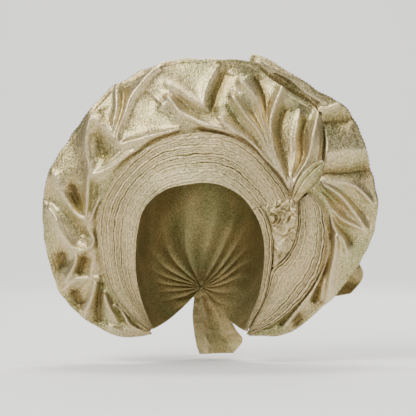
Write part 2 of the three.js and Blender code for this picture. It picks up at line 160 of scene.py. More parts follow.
CROWN_FOLDS = [
    # gathers that spread from the knot, ridge by ridge with the valleys between them
    fold(5, 8, 4, (112, -30), (124, 2), (136, 32), (140, 56)),
    fold(-4, -6, 4, (113, -18), (122, 18), (126, 50)),
    fold(4, 4, 3, (108, -26), (110, 0), (114, 32), (116, 60)),
    fold(-4, -6, 4, (105, -16), (99, 6), (96, 40), (102, 66)),
    fold(5, 9, 5, (105, -32), (90, 5), (84, 40), (89, 70), (99, 92)),
    fold(-4, -5, 4, (92, -12), (82, 30), (78, 62), (68, 100)),
    fold(5, 8, 4, (100, -28), (82, 20), (74, 50), (66, 75), (48, 96)),
    fold(-4, -4, 3, (86, -2), (72, 34), (60, 66)),
    fold(5, 8, 4, (98, -26), (86, 5), (68, 35), (50, 62), (39, 79)),
    fold(-4, -4, 3, (84, -4), (66, 22), (46, 46), (34, 62)),
    fold(5, 7, 3, (94, -17), (74, 8), (44, 38), (20, 53)),
    fold(-1, -2, 2, (84, -11), (66, 7), (40, 31)),
    fold(5, 9, 4, (97, -28), (71, 4), (38, 29), (13, 40), (-6, 48), (-25, 60), (-41, 76)),
    # scoop over the brow
    fold(5, 5, 5, (-40, 94), (-18, 78), (2, 70)),
    fold(3, 5, 6, (16, 112), (6, 90), (2, 70)),
    fold(-4, -5, 6, (28, 108), (22, 84), (14, 62)),
    fold(-2, -2, 4, (-30, 76), (-8, 62), (12, 56)),
    fold(6, 6, 6, (-47, 65), (-43, 68)),
    # long fold that curls round at its foot, with the narrow fold beside it
    fold(5, 9, 4, (-50, 112), (-71, 96), (-83, 79), (-92, 58), (-100, 36), (-102, 26)),
    fold(8, 4, 3.5, (-102, 26), (-95, 20), (-78, 24), (-64, 31), (-44, 35), (-28, 40)),
    fold(1, 0, 2.5, (-68, 86), (-78, 66), (-75, 54), (-63, 43), (-42, 38)),
    fold(-4, -4, 3.5, (-92, 88), (-95, 62), (-101, 32)),
    fold(5, 7, 3.5, (-99, 92), (-102, 67), (-105, 40)),
    fold(0, 0, 5, (-122, 62), (-112, 48)),
    # three-cornered pocket at the upper left
    fold(7, 7, 3.5, (-134, 50), (-124, 48), (-109, 36), (-102, 24)),
    fold(7, 7, 4, (-134, 50), (-137, 31), (-137, 12), (-134, -8), (-133, -17)),
    fold(-3, -3, 6, (-124, 34), (-120, 14), (-118, 4)),
    fold(4, 4, 2.2, (-116, -5), (-104, 5), (-90, 16), (-64, 26)),
    fold(6, 4, 2.5, (-133, -17), (-119, -14), (-107, -7), (-90, 5), (-68, 17)),
    fold(7, 6, 3.5, (-134, -17), (-137, -46), (-138, -66)),
    fold(-5, -3, 3, (-126, -24), (-129, -38), (-134, -62)),
    fold(4, 6, 2.5, (-111, -34), (-125, -54), (-133, -70), (-134, -78), (-129, -92)),
    fold(6, 6, 2.5, (-129, -92), (-131, -99), (-139, -105)),
    # swags down the left side
    fold(4, 7, 4, (-178, -14), (-169, -34), (-161, -48), (-151, -60), (-139, -67)),
    fold(-5, -5, 5, (-156, -28), (-151, -42), (-145, -56)),
    fold(6, 9, 4, (-186, -54), (-173, -74), (-163, -92), (-153, -104), (-140, -105)),
    fold(-1, -3, 4, (-170, -56), (-153, -74), (-138, -88)),
    fold(9, 6, 4, (-153, -104), (-151, -118), (-155, -134), (-163, -144)),
    fold(-7, -6, 4, (-141, -112), (-145, -124), (-146, -137)),
    fold(3, 5, 3, (-130, -112), (-131, -124), (-133, -138)),
    fold(-6, -5, 6, (-170, -110), (-172, -128)),
    fold(4, 6, 2.5, (-168, -151), (-153, -145), (-135, -140), (-123, -139)),
    # small folds at the jaw
    fold(6, 6, 5, (-128, -146), (-133, -164), (-139, -182)),
    fold(-6, -5, 6, (-157, -156), (-148, -174)),
    fold(-7, -7, 3.5, (-122, -144), (-124, -164), (-124, -194)),
    fold(7, 7, 3.5, (-117, -160), (-112, -178), (-103, -196)),
    fold(-6, -5, 3, (-108, -168), (-102, -182), (-97, -196)),
    fold(8, 6, 2.5, (-105, -173), (-96, -175), (-92, -186), (-88, -197), (-78, -203)),
    fold(-5, -5, 2.5, (-88, -182), (-80, -197)),
    fold(5, 4, 3, (-114, -200), (-94, -205), (-72, -204)),
]

SIDE_FOLDS = [
    # the corner behind the crown fan, then rolls across the upper right
    fold(2, 3, 4, (72, 122), (110, 98), (150, 72)),
    fold(-3, -3, 5, (89, 107), (119, 83), (140, 65)),
    fold(4, 4, 2.5, (143, 61), (170, 68)),
    fold(-4, -4, 6, (149, 50), (179, 51)),
    fold(5, 5, 14, (149, 12), (191, 14)),
    fold(-4, -4, 6, (149, -12), (203, -9)),
    # gathers that spread from the knot to the right
    fold(4, 6, 2.5, (143, -22), (161, -22), (179, -26), (195, -36), (207, -48)),
    fold(-3, -4, 3, (150, -26), (171, -36), (183, -48), (195, -60)),
    fold(4, 9, 4, (143, -24), (159, -32), (173, -44), (183, -58), (199, -80)),
    fold(-7, -3, 4, (145, -32), (161, -46), (175, -60)),
    fold(4, 9, 2.5, (135, -30), (149, -50), (163, -62), (181, -74), (199, -84)),
    fold(-5, -6, 4, (152, -52), (166, -72), (182, -98)),
    fold(5, 9, 3.5, (135, -30), (153, -58), (163, -76), (171, -94), (175, -110)),
    fold(-8, -9, 4, (136, -33), (148, -54), (155, -76)),
    # long folds that follow the lobe down
    fold(11, 9, 5, (164, -88), (161, -110), (159, -130), (155, -154), (151, -168)),
    fold(-11, -9, 4, (156, -72), (157, -94), (155, -114), (151, -130), (147, -146)),
    fold(6, 8, 2.5, (147, -56), (153, -76), (154, -100), (149, -124), (139, -146)),
    fold(8, 7, 2.5, (139, -146), (129, -168)),
    fold(6, 7, 2.5, (153, -134), (148, -150), (147, -164)),
    fold(-8, -7, 3, (145, -146), (139, -160), (136, -170)),
    fold(7, 7, 3, (131, -162), (121, -176), (107, -192), (101, -199)),
    fold(-6, -6, 3.5, (122, -184), (112, -194)),
    fold(-5, -5, 3, (108, -186), (94, -197)),
]

LEAF = table("left_x left_z right_x right_z", [
    (108, -44, 114, -49), (112, -30, 124, -38), (119, -17, 134, -29), (128, -6, 141, -20),
    (138, 0, 146, -10), (146, 2, 148, -3),
])
LEAF_FRONT = 14.0
BUNCH_EDGE = 4.4  # height of a bunch where it meets the pleats beside it

BUNCH_COLUMNS = "left_x left_z right_x right_z"
KNOT_PUFF = table(BUNCH_COLUMNS, [
    (*beside_cheek(49), 112, -41), (*beside_cheek(59), 111, -56), (*beside_cheek(65.5), 110, -67),
    (*beside_cheek(71.5), 109, -79), (*beside_cheek(78.5), 107, -91),
])
KNOT_FOLD = table(BUNCH_COLUMNS, [
    (106, -43, 116.8, -44), (104.5, -56, 117.3, -57), (104.5, -68, 117, -69), (104, -79, 116.3, -81),
    (103, -91, 114.2, -93.5),
])
LOWER_PUFF = table(BUNCH_COLUMNS, [
    (*beside_cheek(74), 114.6, -85), (*beside_cheek(82), 112, -96), (*beside_cheek(88), 108, -105.5),
    (*beside_cheek(93), 103, -112), (*beside_cheek(98), 96.5, -119), (*beside_cheek(103), 88.5, -127.5),
])

# Outline, height and number of curls of each bunch
BUNCHES = {
    "knot_puff": {"rows": KNOT_PUFF, "bulge": 8.5, "lines": 1.2},
    "knot_fold": {"rows": KNOT_FOLD, "bulge": 7.5, "lines": 0.8},
    "lower_puff": {"rows": LOWER_PUFF, "bulge": 6.0, "lines": 1.1},
}

TAIL_COLUMNS = "edge_x edge_z other_x other_z y"
SIDE_TAIL = table(TAIL_COLUMNS, [
    (14, -147, 14, -164, 108), (70, -127, 66, -166, 92), (125, -116, 118, -166, 58),
    (172, -116, 160, -164, 33), (192, -121, 183, -160, 24),
])
NAPE_TAIL = table(TAIL_COLUMNS, [
    (-8, -163, 10, -163, 108), (-11, -190, 32, -189, 103), (-9, -212, 44, -209, 98),
    (-6, -228, 52, -222, 94), (-2, -239, 40, -238, 91),
])
# Outline of each free end, the height of its ripples and how far its tip is rounded out
FREE_ENDS = {
    "side_tail": {"rows": SIDE_TAIL, "ripple": 4.0, "tip_bulge": 11.0},
    "nape_tail": {"rows": NAPE_TAIL, "ripple": 3.0, "tip_bulge": 0.0},
}
NAPE_KNOT = {"y": 110.0, "z": -156.5, "half_x": 18.0, "half_y": 9.6, "half_z": 15.0}
NAPE_KNOT_FINENESS = 6  # times that the ball's faces are divided

# Columns and rows of each piece's grid
GRID = {
    "pleat_arch": (400, 110), "cheek_pleats": (200, 30), "side_pleats": (230, 88),
    "crown_fan": (520, 90), "side_fan": (300, 84), "tucked_leaf": (70, 26),
    "knot_puff": (90, 80), "knot_fold": (90, 80), "lower_puff": (90, 80),
    "head_cap": (240, 70), "side_tail": (110, 40), "nape_tail": (110, 40), "stage_sweep": (2, 60),
}

# Seeds of the small irregularities
SEED = {
    "pleat_arch": 101, "cheek_pleats": 111, "side_pleats": 121,
    "crown_fan": 5, "crown_ruffle": 44, "side_fan": 15, "side_ruffle": 54, "rim": 71, "tucked_leaf": 66,
    "knot_puff": 11, "knot_fold": 23, "lower_puff": 35,
    "cap_gathers": 81, "cap_creases": 82, "knot_wraps": 91, "knot_creases": 92,
    "side_tail": 131, "nape_tail": 141,
}

# How strong the painted highlight on the crests is, how fine the grain is and how rough the cloth is, for
# each group of pieces
FINISHES = {
    "pleated_shimmer_cloth": {"painted_highlight_share": 0.95, "grain": 560, "roughness": 0.44},
    "fan_shimmer_cloth": {"painted_highlight_share": 0.85, "grain": 520, "roughness": 0.3},
    "knot_shimmer_cloth": {"painted_highlight_share": 0.95, "grain": 620, "roughness": 0.36},
    "back_shimmer_cloth": {"painted_highlight_share": 0.5, "grain": 620, "roughness": 0.44},
}
DRIFT_SCALE = 24  # patches of olive and gold
THREAD_STRETCH = (1.0, 1.0, 0.3)
METAL = 0.85
BUMP_STRENGTH = 0.5
BUMP_HEIGHT = 0.0005


class GeleSettings(bpy.types.PropertyGroup):
    """Sizes and colours of the head tie."""

    cloth_wall: FloatProperty(
        name="Cloth thickness", description="Thickness of the fans and the free ends",
        default=0.0012, unit="LENGTH",
    )
    pleat_depth: FloatProperty(
        name="Pleat depth", description="Depth of the groove between two pleats",
        default=0.0024, unit="LENGTH",
    )
    arch_pleats: IntProperty(name="Arch pleats", description="Pleats across the arch", default=22)
    lobe_pleats: IntProperty(name="Lobe pleats", description="Pleats across the side lobe", default=17)
    cheek_pleats: IntProperty(name="Cheek pleats", description="Pleats that go on down the cheek", default=5)
    fold_depth: FloatProperty(
        name="Fold depth", description="Multiplies the heights of the fans' folds",
        default=1.65, subtype="FACTOR",
    )
    crinkle: FloatProperty(
        name="Crinkle", description="Height of the small creases in the fans", default=0.0006, unit="LENGTH",
    )
    # Champagne is the colour of the painted highlight on the crests.
    champagne: FloatVectorProperty(
        name="Champagne", description="Pale tone on the crests", default=(0.74, 0.62, 0.37), subtype="COLOR",
    )
    gold: FloatVectorProperty(
        name="Gold", description="Middle tone of the cloth", default=(0.46, 0.345, 0.145), subtype="COLOR",
    )
    olive: FloatVectorProperty(
        name="Olive", description="Greenish tone of the cloth", default=(0.29, 0.295, 0.11), subtype="COLOR",
    )
    # Umber is the painted shade in the valleys, and it also darkens the grain at random.
    umber: FloatVectorProperty(
        name="Umber", description="Brown tone in the valleys", default=(0.125, 0.085, 0.025), subtype="COLOR",
    )


def smooth_at(keys, values, place):
    """The value at each place on a smooth curve through the values at the keys."""
    slopes = np.gradient(values, keys)
    k = np.clip(np.searchsorted(keys, place, side="right") - 1, 0, len(keys) - 2)
    width = keys[k + 1] - keys[k]
    t = np.clip((place - keys[k]) / width, 0, 1)
    rise = values[k + 1] - values[k]
    start, end = slopes[k] * width, slopes[k + 1] * width
    return values[k] + t * (start + t * (3 * rise - 2 * start - end + t * (start + end - 2 * rise)))


def along(rows, column, share):
    """A column's value at a share of the way down the table."""
    return smooth_at(np.linspace(0, 1, len(rows[column])), rows[column], share)


def by_angle(rows, column, angle):
    """A column's value at an angle round the face."""
    return smooth_at(rows["angle"], rows[column], angle)


def lerp(a, b, share):
    """The value that lies the given share of the way from one value to another."""
    return a + (b - a) * share


def ease(value, low, high):
    """0 below low, 1 above high and smooth between."""
    t = np.clip((value - low) / (high - low), 0, 1)
    return t * t * (3 - 2 * t)


def dish_depth(x, z):
    """Depth of the shallow dish that the front pieces lie on."""
    up = z - FACE_CENTRE_Z
    reach = np.hypot(x, up)
    overhead = (1 + up / np.maximum(reach, 1)) / 2
    return lerp(NAPE_Y, BROW_Y, overhead) + FLARE * (reach - FACE_RADIUS)


def polar(angle, radius):
    """The point at that angle, in degrees from straight up, round the middle of the face."""
    turn = np.radians(angle)
    return radius * np.sin(turn), FACE_CENTRE_Z + radius * np.cos(turn)


def field(x, z, wavelength, seed, waves=8):
    """A smooth random field, mostly from -2 to 2, that is the same on every run."""
    rng = np.random.default_rng(seed)
    total = np.zeros_like(x)
    for _ in range(waves):
        turn, phase = rng.uniform(0, TAU, 2)
        pitch = TAU * rng.uniform(0.7, 1.4) / wavelength
        total += np.sin((x * math.cos(turn) + z * math.sin(turn)) * pitch + phase)
    return total * math.sqrt(2 / waves)


def creases(x, z, wavelength, seed):
    """Flat facets between sharp creases, about 0 to 1."""
    return 1 - np.minimum(np.abs(field(x, z, wavelength, seed)), 1.6) / 1.6


def fold_path(points):
    """The two columns of a smooth curve through a fold's points, in short steps."""
    keys = np.arange(len(points), dtype=float)
    places = np.linspace(0, keys[-1], FOLD_STEPS * (len(points) - 1) + 1)
    return [smooth_at(keys, column, places) for column in np.array(points, float).T]


def fold_pull(fold, x, z, soften):
    """How strongly a fold shapes the cloth at each point, and the height that it pulls the cloth to."""
    path_x, path_z = fold_path(fold["points"])
    steps = len(path_x) - 1
    nearest, share = np.full_like(x, np.inf), np.zeros_like(x)
    for k in range(steps):
        run_x, run_z = path_x[k + 1] - path_x[k], path_z[k + 1] - path_z[k]
        from_x, from_z = x - path_x[k], z - path_z[k]
        t = np.clip((from_x * run_x + from_z * run_z) / (run_x**2 + run_z**2), 0, 1)
        distance = np.hypot(from_x - t * run_x, from_z - t * run_z)
        share = np.where(distance < nearest, (k + t) / steps, share)
        nearest = np.minimum(nearest, distance)
    rounding = soften + (CREST if fold["end"] > 0 else VALLEY)
    strength = (FOLD_SPREAD * fold["reach"] / np.hypot(nearest, rounding)) ** FOLD_SHARPNESS
    strength *= lerp(FOLD_END, 1, np.sqrt(4 * share * (1 - share)))
    return strength, lerp(fold["start"], fold["end"], share)


def folds_lift(folds, x, z, soften=0.0):
    """Height of the cloth between its folds: the nearer a ridge or a valley, the more it counts."""
    pull, total = np.ones_like(x), np.zeros_like(x)
    for fold in folds:
        strength, height = fold_pull(fold, x, z, soften)
        pull += strength
        total += strength * height
    return total / pull


def gather_rays(x, z, centre, rays, reach, seed):
    """Small ridges that spread from a gathering point and fade with distance."""
    from_x, from_z = x - centre[0], z - centre[1]
    distance = np.hypot(from_x, from_z)
    turn = np.arctan2(from_x, from_z) + 0.05 * field(x, z, 45, seed)
    ridge = 1 - np.abs(np.sin(rays * turn / 2))
    return ridge * np.exp(-distance / reach) * ease(distance, 3, 14)


def new_object(name, mesh, nodes, material):
    """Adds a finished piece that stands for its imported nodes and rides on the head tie."""
    piece = bpy.data.objects.new(f"{name}_cloth", mesh)
    bpy.context.scene.collection.objects.link(piece)
    mesh.polygons.foreach_set("use_smooth", np.ones(len(mesh.polygons), bool))
    mesh.materials.append(material)
    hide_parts(*nodes)
    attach(piece, BODY)
    return piece


def mesh_points(mesh):
    """The mesh's points as an array of rows."""
    points = np.empty(3 * len(mesh.vertices))
    mesh.vertices.foreach_get("co", points)
    return points.reshape(-1, 3)


def move_points(mesh, x, y, z, crest_and_painted_light):
    """Puts the points at x, y and z in millimetres and stores each point's painted light, from 0 for painted
    shade to 1 for painted highlight.
    """
    mesh.vertices.foreach_set("co", (np.stack([x, y, z], axis=1) * MM).ravel())
    mesh.attributes.new("crest_and_painted_light", "FLOAT", "POINT").data.foreach_set("value", np.clip(crest_and_painted_light, 0, 1))
    mesh.update()


def grid_mesh(name, columns, rows, doubled=False):
    """A flat grid, or a doubled one closed round its border, with its places as u and v from 0 to 1."""
    bm = bmesh.new()
    bm.loops.layers.uv.new("cloth")
    bmesh.ops.create_grid(bm, x_segments=columns, y_segments=rows, size=1.0, calc_uvs=True)
    if doubled:
        bmesh.ops.extrude_face_region(bm, geom=bm.faces[:], use_keep_orig=True)
    mesh = bpy.data.meshes.new(name)
    bm.to_mesh(mesh)
    bm.free()
    u, v, _ = ((mesh_points(mesh) + 1) / 2).T
    return mesh, u, v


def face_outwards(mesh):
    """Turns the faces of a closed mesh outwards."""
    bm = bmesh.new()
    bm.from_mesh(mesh)
    bmesh.ops.recalc_face_normals(bm, faces=bm.faces[:])
    bm.to_mesh(mesh)
    bm.free()


def pleat_profile(x, z, v, pleats, seed):
    """Height of the pleats from 0 in a groove to 1 on a crest. The pleats differ in width and in depth."""
    uneven = 0.3 * np.sin(1.7 * v * pleats + seed)
    wander = 0.14 * field(x, z, 90, seed)
    waver = 0.09 * field(x, z, 20, seed + 1)
    line = v * pleats + uneven + wander + waver
    which = np.floor(line)
    t = line - which
    rise, fall = t / 0.22, (1 - t) / 0.3
    crest_and_painted_light = np.clip(np.minimum(rise, fall), 0, 1)
    shallow = 0.25 + 0.3 * np.sin(12.9898 * which + 0.02 * (x - z))
    slope = 0.75 + 0.25 * t
    crinkle = 0.09 * field(x, z + 9 * which, 8, seed + 2)
    return slope * (1 - (1 - crest_and_painted_light) * (1 - shallow)) + crinkle


def pleat_stack(name, pleats, place, settings, material):
    """A closed stack of pleats. place gives x and z for u along the pleats and v across them."""
    mesh, u, v = grid_mesh(name, *GRID[name], doubled=True)
    front = np.arange(len(u)) >= len(u) // 2
    x, z = place(u, v)
    profile = pleat_profile(x, z, v, pleats, SEED[name])
    depth = settings.pleat_depth / MM
    deeper_outside = 1 + 0.9 * ease(v, 0.72, 0.92)
    rounded = 1.6 * np.sin(math.pi * v) ** 0.5
    stand = PLEAT_STACK + rounded - depth * deeper_outside * (1 - profile)
    y = dish_depth(x, z) - FAN_WALL / 2 - LAYER_GAP - np.where(front, stand, 0)
    # The pleat profile is also the painted light: painted highlight on the crests, painted shade in the
    # grooves, and a fixed painted shade on the hidden back.
    move_points(mesh, x, y, z, np.where(front, profile, PLEAT_BACK_SHADE))
    face_outwards(mesh)
    return new_object(name, mesh, [name], material)


def arch_place(u, v):
    """Places x and z on the arch of pleats over the face."""
    end = lerp(ARCH_END[0], ARCH_END[1], v)
    angle = lerp(ARCH["angle"][0], end, u)
    return polar(angle, lerp(by_angle(ARCH, "inner", angle), by_angle(ARCH, "outer", angle), v))


def cheek_place(u, v):
    """Places x and z on the pleats that go on down the cheek."""
    start = lerp(CHEEK_START[0], CHEEK_START[1], v)
    angle = lerp(start, CHEEK["angle"][-1], u)
    return polar(angle, lerp(by_angle(CHEEK, "inner", angle), by_angle(CHEEK, "outer", angle), v))


def lobe_place(u, v):
    """Places x and z on the second lobe of pleats."""
    x = lerp(along(LOBE, "inner_x", u), along(LOBE, "outer_x", u), v)
    z = lerp(along(LOBE, "inner_z", u), along(LOBE, "outer_z", u), v)
    return x, z


def cloth_sheet(name, mesh, wall, material):
    """A piece of cloth with its thickness."""
    piece = new_object(name, mesh, [name], material)
    solidify = piece.modifiers.new("cloth_wall", "SOLIDIFY")
    solidify.thickness = wall
    solidify.offset = 0
    return piece


def fan_place(sections, u, v, columns):
    """x and z of a fan, whose rim is cut in fine teeth, and each point's distance to the rim."""
    root_x, root_z = along(sections, "root_x", u), along(sections, "root_z", u)
    rim_x, rim_z = along(sections, "rim_x", u), along(sections, "rim_z", u)
    width = np.hypot(rim_x - root_x, rim_z - root_z)
    tooth = RIM_TOOTH * np.where(np.round(u * columns) % 2, 1, -1) * (v > 0.999)
    wave = RIM_WAVE * field(rim_x, rim_z, 30, SEED["rim"]) * ease(v, 0.8, 1)
    share = v + (tooth + wave * ease(width, 15, 40)) / width
    return lerp(root_x, rim_x, share), lerp(root_z, rim_z, share), (1 - v) * width


def hem(distance):
    """A narrow turned hem along the rim: a stitched groove with a slightly raised edge outside it."""
    raised = 0.3 * ease(HEM_WIDTH - distance, 0, 1.5)
    groove = 0.5 * np.exp(-(((distance - HEM_WIDTH) / 0.9) ** 2))
    return raised - groove


def fan_lift(folds, x, z, centre, settings, seed):
    """Folds and gathers of a fan as millimetres towards the front, and each point's painted light: paler on
    crests, near the knot and high above the dish, darker in valleys.
    """
    warp_x = x + field(x, z, 50, seed)
    warp_z = z + field(x, z, 50, seed + 1)
    sharp = settings.fold_depth * folds_lift(folds, warp_x, warp_z)
    soft = settings.fold_depth * folds_lift(folds, warp_x, warp_z, RELIEF_BLUR)
    rays = RAY_HEIGHT * gather_rays(x, z, centre, GATHER_RAYS, RAY_REACH, seed + 4)
    crinkle = settings.crinkle / MM * field(x, z, 60, seed + 2)
    near_knot = np.exp(-np.hypot(x - centre[0], z - centre[1]) / GATHER_REACH)
    # Painted light: a base level, paler near the knot, with painted highlight on crests and painted shade in
    # valleys.
    level = PAINTED_LIGHT_BASE + KNOT_PAINTED_LIGHT * near_knot
    crest_and_painted_light = level + (sharp - soft + rays) / RELIEF_FULL + sharp / HEIGHT_FULL
    return sharp + rays + crinkle, crest_and_painted_light


def crown_fan(settings, material):
    """The wide ruffled fan from the jaw round the top, gathered at the knot."""
    columns, rows = GRID["crown_fan"]
    mesh, u, v = grid_mesh("crown_fan", columns, rows)
    x, z, to_rim = fan_place(CROWN_FAN, u, v, columns)
    angle = np.degrees(np.arctan2(x, z - FACE_CENTRE_Z))
    clear = np.hypot(x, z - FACE_CENTRE_Z) - by_angle(ARCH, "outer", angle)
    lift, crest_and_painted_light = fan_lift(CROWN_FOLDS, x, z, KNOT, settings, SEED["crown_fan"])
    lying = ease(u, 0.9, 0.95) * (1 - ease(to_rim, 0, 12))
    lift = lift * ease(clear, 0.5, 8) * (1 - EDGE_FLATTEN * lying) - EDGE_DROP * lying + hem(to_rim)
    ruffle = CROWN_RUFFLE * field(x, z, 75, SEED["crown_ruffle"]) * ease(v, 0.45, 1)
    y = dish_depth(x, z) - lift + ruffle * ease(clear, 4, 30)
    # Painted shade where the fan goes in under the arch of pleats.
    move_points(mesh, x, y, z, crest_and_painted_light * ease(clear, -6, 5))
    return cloth_sheet("crown_fan", mesh, settings.cloth_wall, material)


def side_fan(settings, material):
    """The ruffled fan round the second lobe of pleats."""
    columns, rows = GRID["side_fan"]
    mesh, u, v = grid_mesh("side_fan", columns, rows)
    x, z, to_rim = fan_place(SIDE_FAN, u, v, columns)
    cover = along(SIDE_FAN, "cover", u)
    free = np.maximum(v - cover, 0) / (1 - cover)
    lift, crest_and_painted_light = fan_lift(SIDE_FOLDS, x, z, SIDE_KNOT, settings, SEED["side_fan"])
    lift = lift * ease(free, 0, 0.12) + hem(to_rim) * ease(u, 0.02, 0.1)
    ruffle = SIDE_RUFFLE * field(x, z, 70, SEED["side_ruffle"]) * ease(free, 0.3, 1)
    y = dish_depth(x, z) + along(SIDE_FAN, "back", u) - lift + ruffle
    # Painted shade where the fan lies under the pieces that cover it.
    move_points(mesh, x, y, z, crest_and_painted_light * ease(free, -0.05, 0.08))
    return cloth_sheet("side_fan", mesh, settings.cloth_wall, material)


def tucked_leaf(settings, material):
    """The leaf-shaped fold that stands up from the knot."""
    mesh, u, v = grid_mesh("tucked_leaf", *GRID["tucked_leaf"])
    x = lerp(along(LEAF, "left_x", u), along(LEAF, "right_x", u), v)
    z = lerp(along(LEAF, "left_z", u), along(LEAF, "right_z", u), v)
    arch = 2.4 * np.sin(math.pi * v) ** 0.8
    edge_roll = 2.2 * np.exp(-np.abs(v - 0.1) / 0.1)
    crease = 1.8 * np.exp(-(((v - 0.3 - 0.12 * u) / 0.08) ** 2))
    lift = arch + (edge_roll - crease) + 0.8 * creases(x, z, 18, SEED["tucked_leaf"])
    y = dish_depth(x, z) - LEAF_FRONT + 6 * (1 - u) ** 2 - lift
    # Painted light: paler where the leaf stands out, darker in its crease.
    move_points(mesh, x, y, z, 0.1 + lift / 8)
    return cloth_sheet("tucked_leaf", mesh, settings.cloth_wall, material)


def ball_mesh(name, subdivisions):
    """A fine ball with its points as directions."""
    bm = bmesh.new()
    bmesh.ops.create_icosphere(bm, subdivisions=subdivisions, radius=1.0)
    mesh = bpy.data.meshes.new(name)
    bm.to_mesh(mesh)
    bm.free()
    return mesh, mesh_points(mesh).T


def crumpled_bunch(name, material):
    """A bunch of crumpled cloth: a domed patch with curling folds and small creases, closed behind."""
    rows, bulge, lines = (BUNCHES[name][key] for key in ("rows", "bulge", "lines"))
    seed = SEED[name]
    mesh, u, v = grid_mesh(name, *GRID[name], doubled=True)
    front = np.arange(len(u)) >= len(u) // 2
    x = lerp(along(rows, "left_x", u), along(rows, "right_x", u), v)
    z = lerp(along(rows, "left_z", u), along(rows, "right_z", u), v)
    dome = (np.sin(math.pi * u) * np.sin(math.pi * v)) ** 0.5
    bent_x, bent_z = x + 3 * field(x, z, 22, seed), z + 3 * field(x, z, 22, seed + 1)
    curls = 1 - np.abs(np.sin(lines * (0.22 * bent_x - 0.16 * bent_z) + seed))
    crumple = 0.45 * curls + 0.55 * creases(bent_x, bent_z, 22, seed + 2) + 0.1 * creases(x, z, 7, seed + 3)
    stand = BUNCH_EDGE + bulge * dome * (0.35 + crumple) * ease(dome, 0, 0.5)
    y = dish_depth(x, z) - FAN_WALL / 2 - LAYER_GAP - np.where(front, stand, 0)
    # Painted light: paler on the crumpled crests, painted shade between them and on the hidden back.
    move_points(mesh, x, y, z, np.where(front, 0.3 + 0.85 * crumple, 0))
    face_outwards(mesh)
    return new_object(name, mesh, [name], material)


def head_cap(settings, material):
    """The cap: gathers that run from behind the face opening over the head to one point at the nape."""
    mesh, u, v = grid_mesh("head_cap", *GRID["head_cap"])
    opening_angle = np.concatenate([ARCH["angle"][:-2], CHEEK["angle"]])
    opening_inner = np.concatenate([ARCH["inner"][:-2], CHEEK["inner"]])
    angle = lerp(opening_angle[0], opening_angle[-1], u)
    edge_x, edge_z = polar(angle, smooth_at(opening_angle, opening_inner, angle) + 3)
    edge_y = dish_depth(edge_x, edge_z) + FAN_WALL / 2
    axes = np.array([HEAD["x"], HEAD["y"], HEAD["z"]])
    start = np.stack([edge_x, edge_y, edge_z - HEAD["centre_z"]], axis=1) / axes
    grown = np.linalg.norm(start, axis=1)
    start /= grown[:, None]
    nape = np.array(NAPE_DIRECTION) / np.linalg.norm(NAPE_DIRECTION)
    turn = np.arccos(np.clip(start @ nape, -1, 1))
    way = CAP_CLOSE * v
    direction = start * (np.sin((1 - way) * turn) / np.sin(turn))[:, None]
    direction += nape * (np.sin(way * turn) / np.sin(turn))[:, None]
    sway = 0.8 * field(60 * u, 60 * v, 30, SEED["cap_gathers"])
    gathers = 1 - np.abs(np.sin(16 * math.pi * u + sway))
    close = 1 - ease(way, 0.9, CAP_CLOSE)
    dents = 0.5 * creases(200 * u, 140 * v, 60, SEED["cap_creases"])
    lift = 1.6 * ease(way, 0.45, 0.85) * gathers * close + dents
    size = lerp(grown, 1, ease(way, 0, 0.35))
    normal = direction / axes
    normal /= np.linalg.norm(normal, axis=1)[:, None]
    outwards = FAN_WALL / 2 + lift * ease(way, 0.04, 0.2)
    spot = direction * size[:, None] * axes + normal * outwards[:, None]
    # Painted light: paler on the gathers and dents that stand out.
    move_points(mesh, spot[:, 0], spot[:, 1], spot[:, 2] + HEAD["centre_z"], 0.2 + lift / 4)
    return cloth_sheet("head_cap", mesh, settings.cloth_wall, material)


def nape_knot(material):
    """The tie at the nape: a ball of cloth with a wrapped fold across it."""
    mesh, (across, out, up) = ball_mesh("nape_knot", NAPE_KNOT_FINENESS)
    sway = 0.5 * field(across, up, 1.1, SEED["knot_wraps"])
    wraps = 1 - np.abs(np.sin(3.2 * up + 1.6 * across + sway))
    lift = 0.14 * wraps + 0.08 * creases(across + out, up, 0.5, SEED["knot_creases"])
    size = 0.9 + lift
    x = NAPE_KNOT["half_x"] * across * size
    y = NAPE_KNOT["y"] + NAPE_KNOT["half_y"] * out * size
    z = NAPE_KNOT["z"] + NAPE_KNOT["half_z"] * up * size
    # Painted light: paler on the wraps and creases that stand out.
    move_points(mesh, x, y, z, 0.1 + 3 * lift)
    return new_object("nape_knot", mesh, ["nape_knot"], material)


def free_end(name, settings, material):
    """A free end of the cloth with soft folds along it that open towards the tip."""
    rows, ripple, tip_bulge = (FREE_ENDS[name][key] for key in ("rows", "ripple", "tip_bulge"))
    seed = SEED[name]
    mesh, u, v = grid_mesh(name, *GRID[name])
    x = lerp(along(rows, "edge_x", u), along(rows, "other_x", u), v)
    z = lerp(along(rows, "edge_z", u), along(rows, "other_z", u), v)
    x += tip_bulge * np.sin(math.pi * v) * u**4
    ripples = ripple * (0.35 + u) * np.sin(TAU * v + 0.7 * np.sin(3 * u))
    gathers = 1.6 * (1 - u) * (1 - np.abs(np.sin(9 * v + seed)))
    lift = ripples + 0.9 * creases(x, z, 22, seed) + gathers
    y = along(rows, "y", u) - lift
    # Painted light: paler where the end bulges forward, painted shade in its hollows.
    move_points(mesh, x, y, z, 0.5 + lift / 20)
    return cloth_sheet(name, mesh, settings.cloth_wall, material)


class Value:
    """A socket that can be used in sums: each operator adds a Math node."""

    def __init__(self, finish, socket):
        self.finish, self.socket = finish, socket

    def math(self, operation, a, b):
        return self.finish.add("ShaderNodeMath", {"operation": operation}, {0: a, 1: b})

    def __add__(self, other):
        return self.math("ADD", self, other)

    def __radd__(self, other):
        return self.math("ADD", other, self)

    def __sub__(self, other):
        return self.math("SUBTRACT", self, other)

    def __rsub__(self, other):
        return self.math("SUBTRACT", other, self)

    def __mul__(self, other):
        return self.math("MULTIPLY", self, other)

    def __rmul__(self, other):
        return self.math("MULTIPLY", other, self)


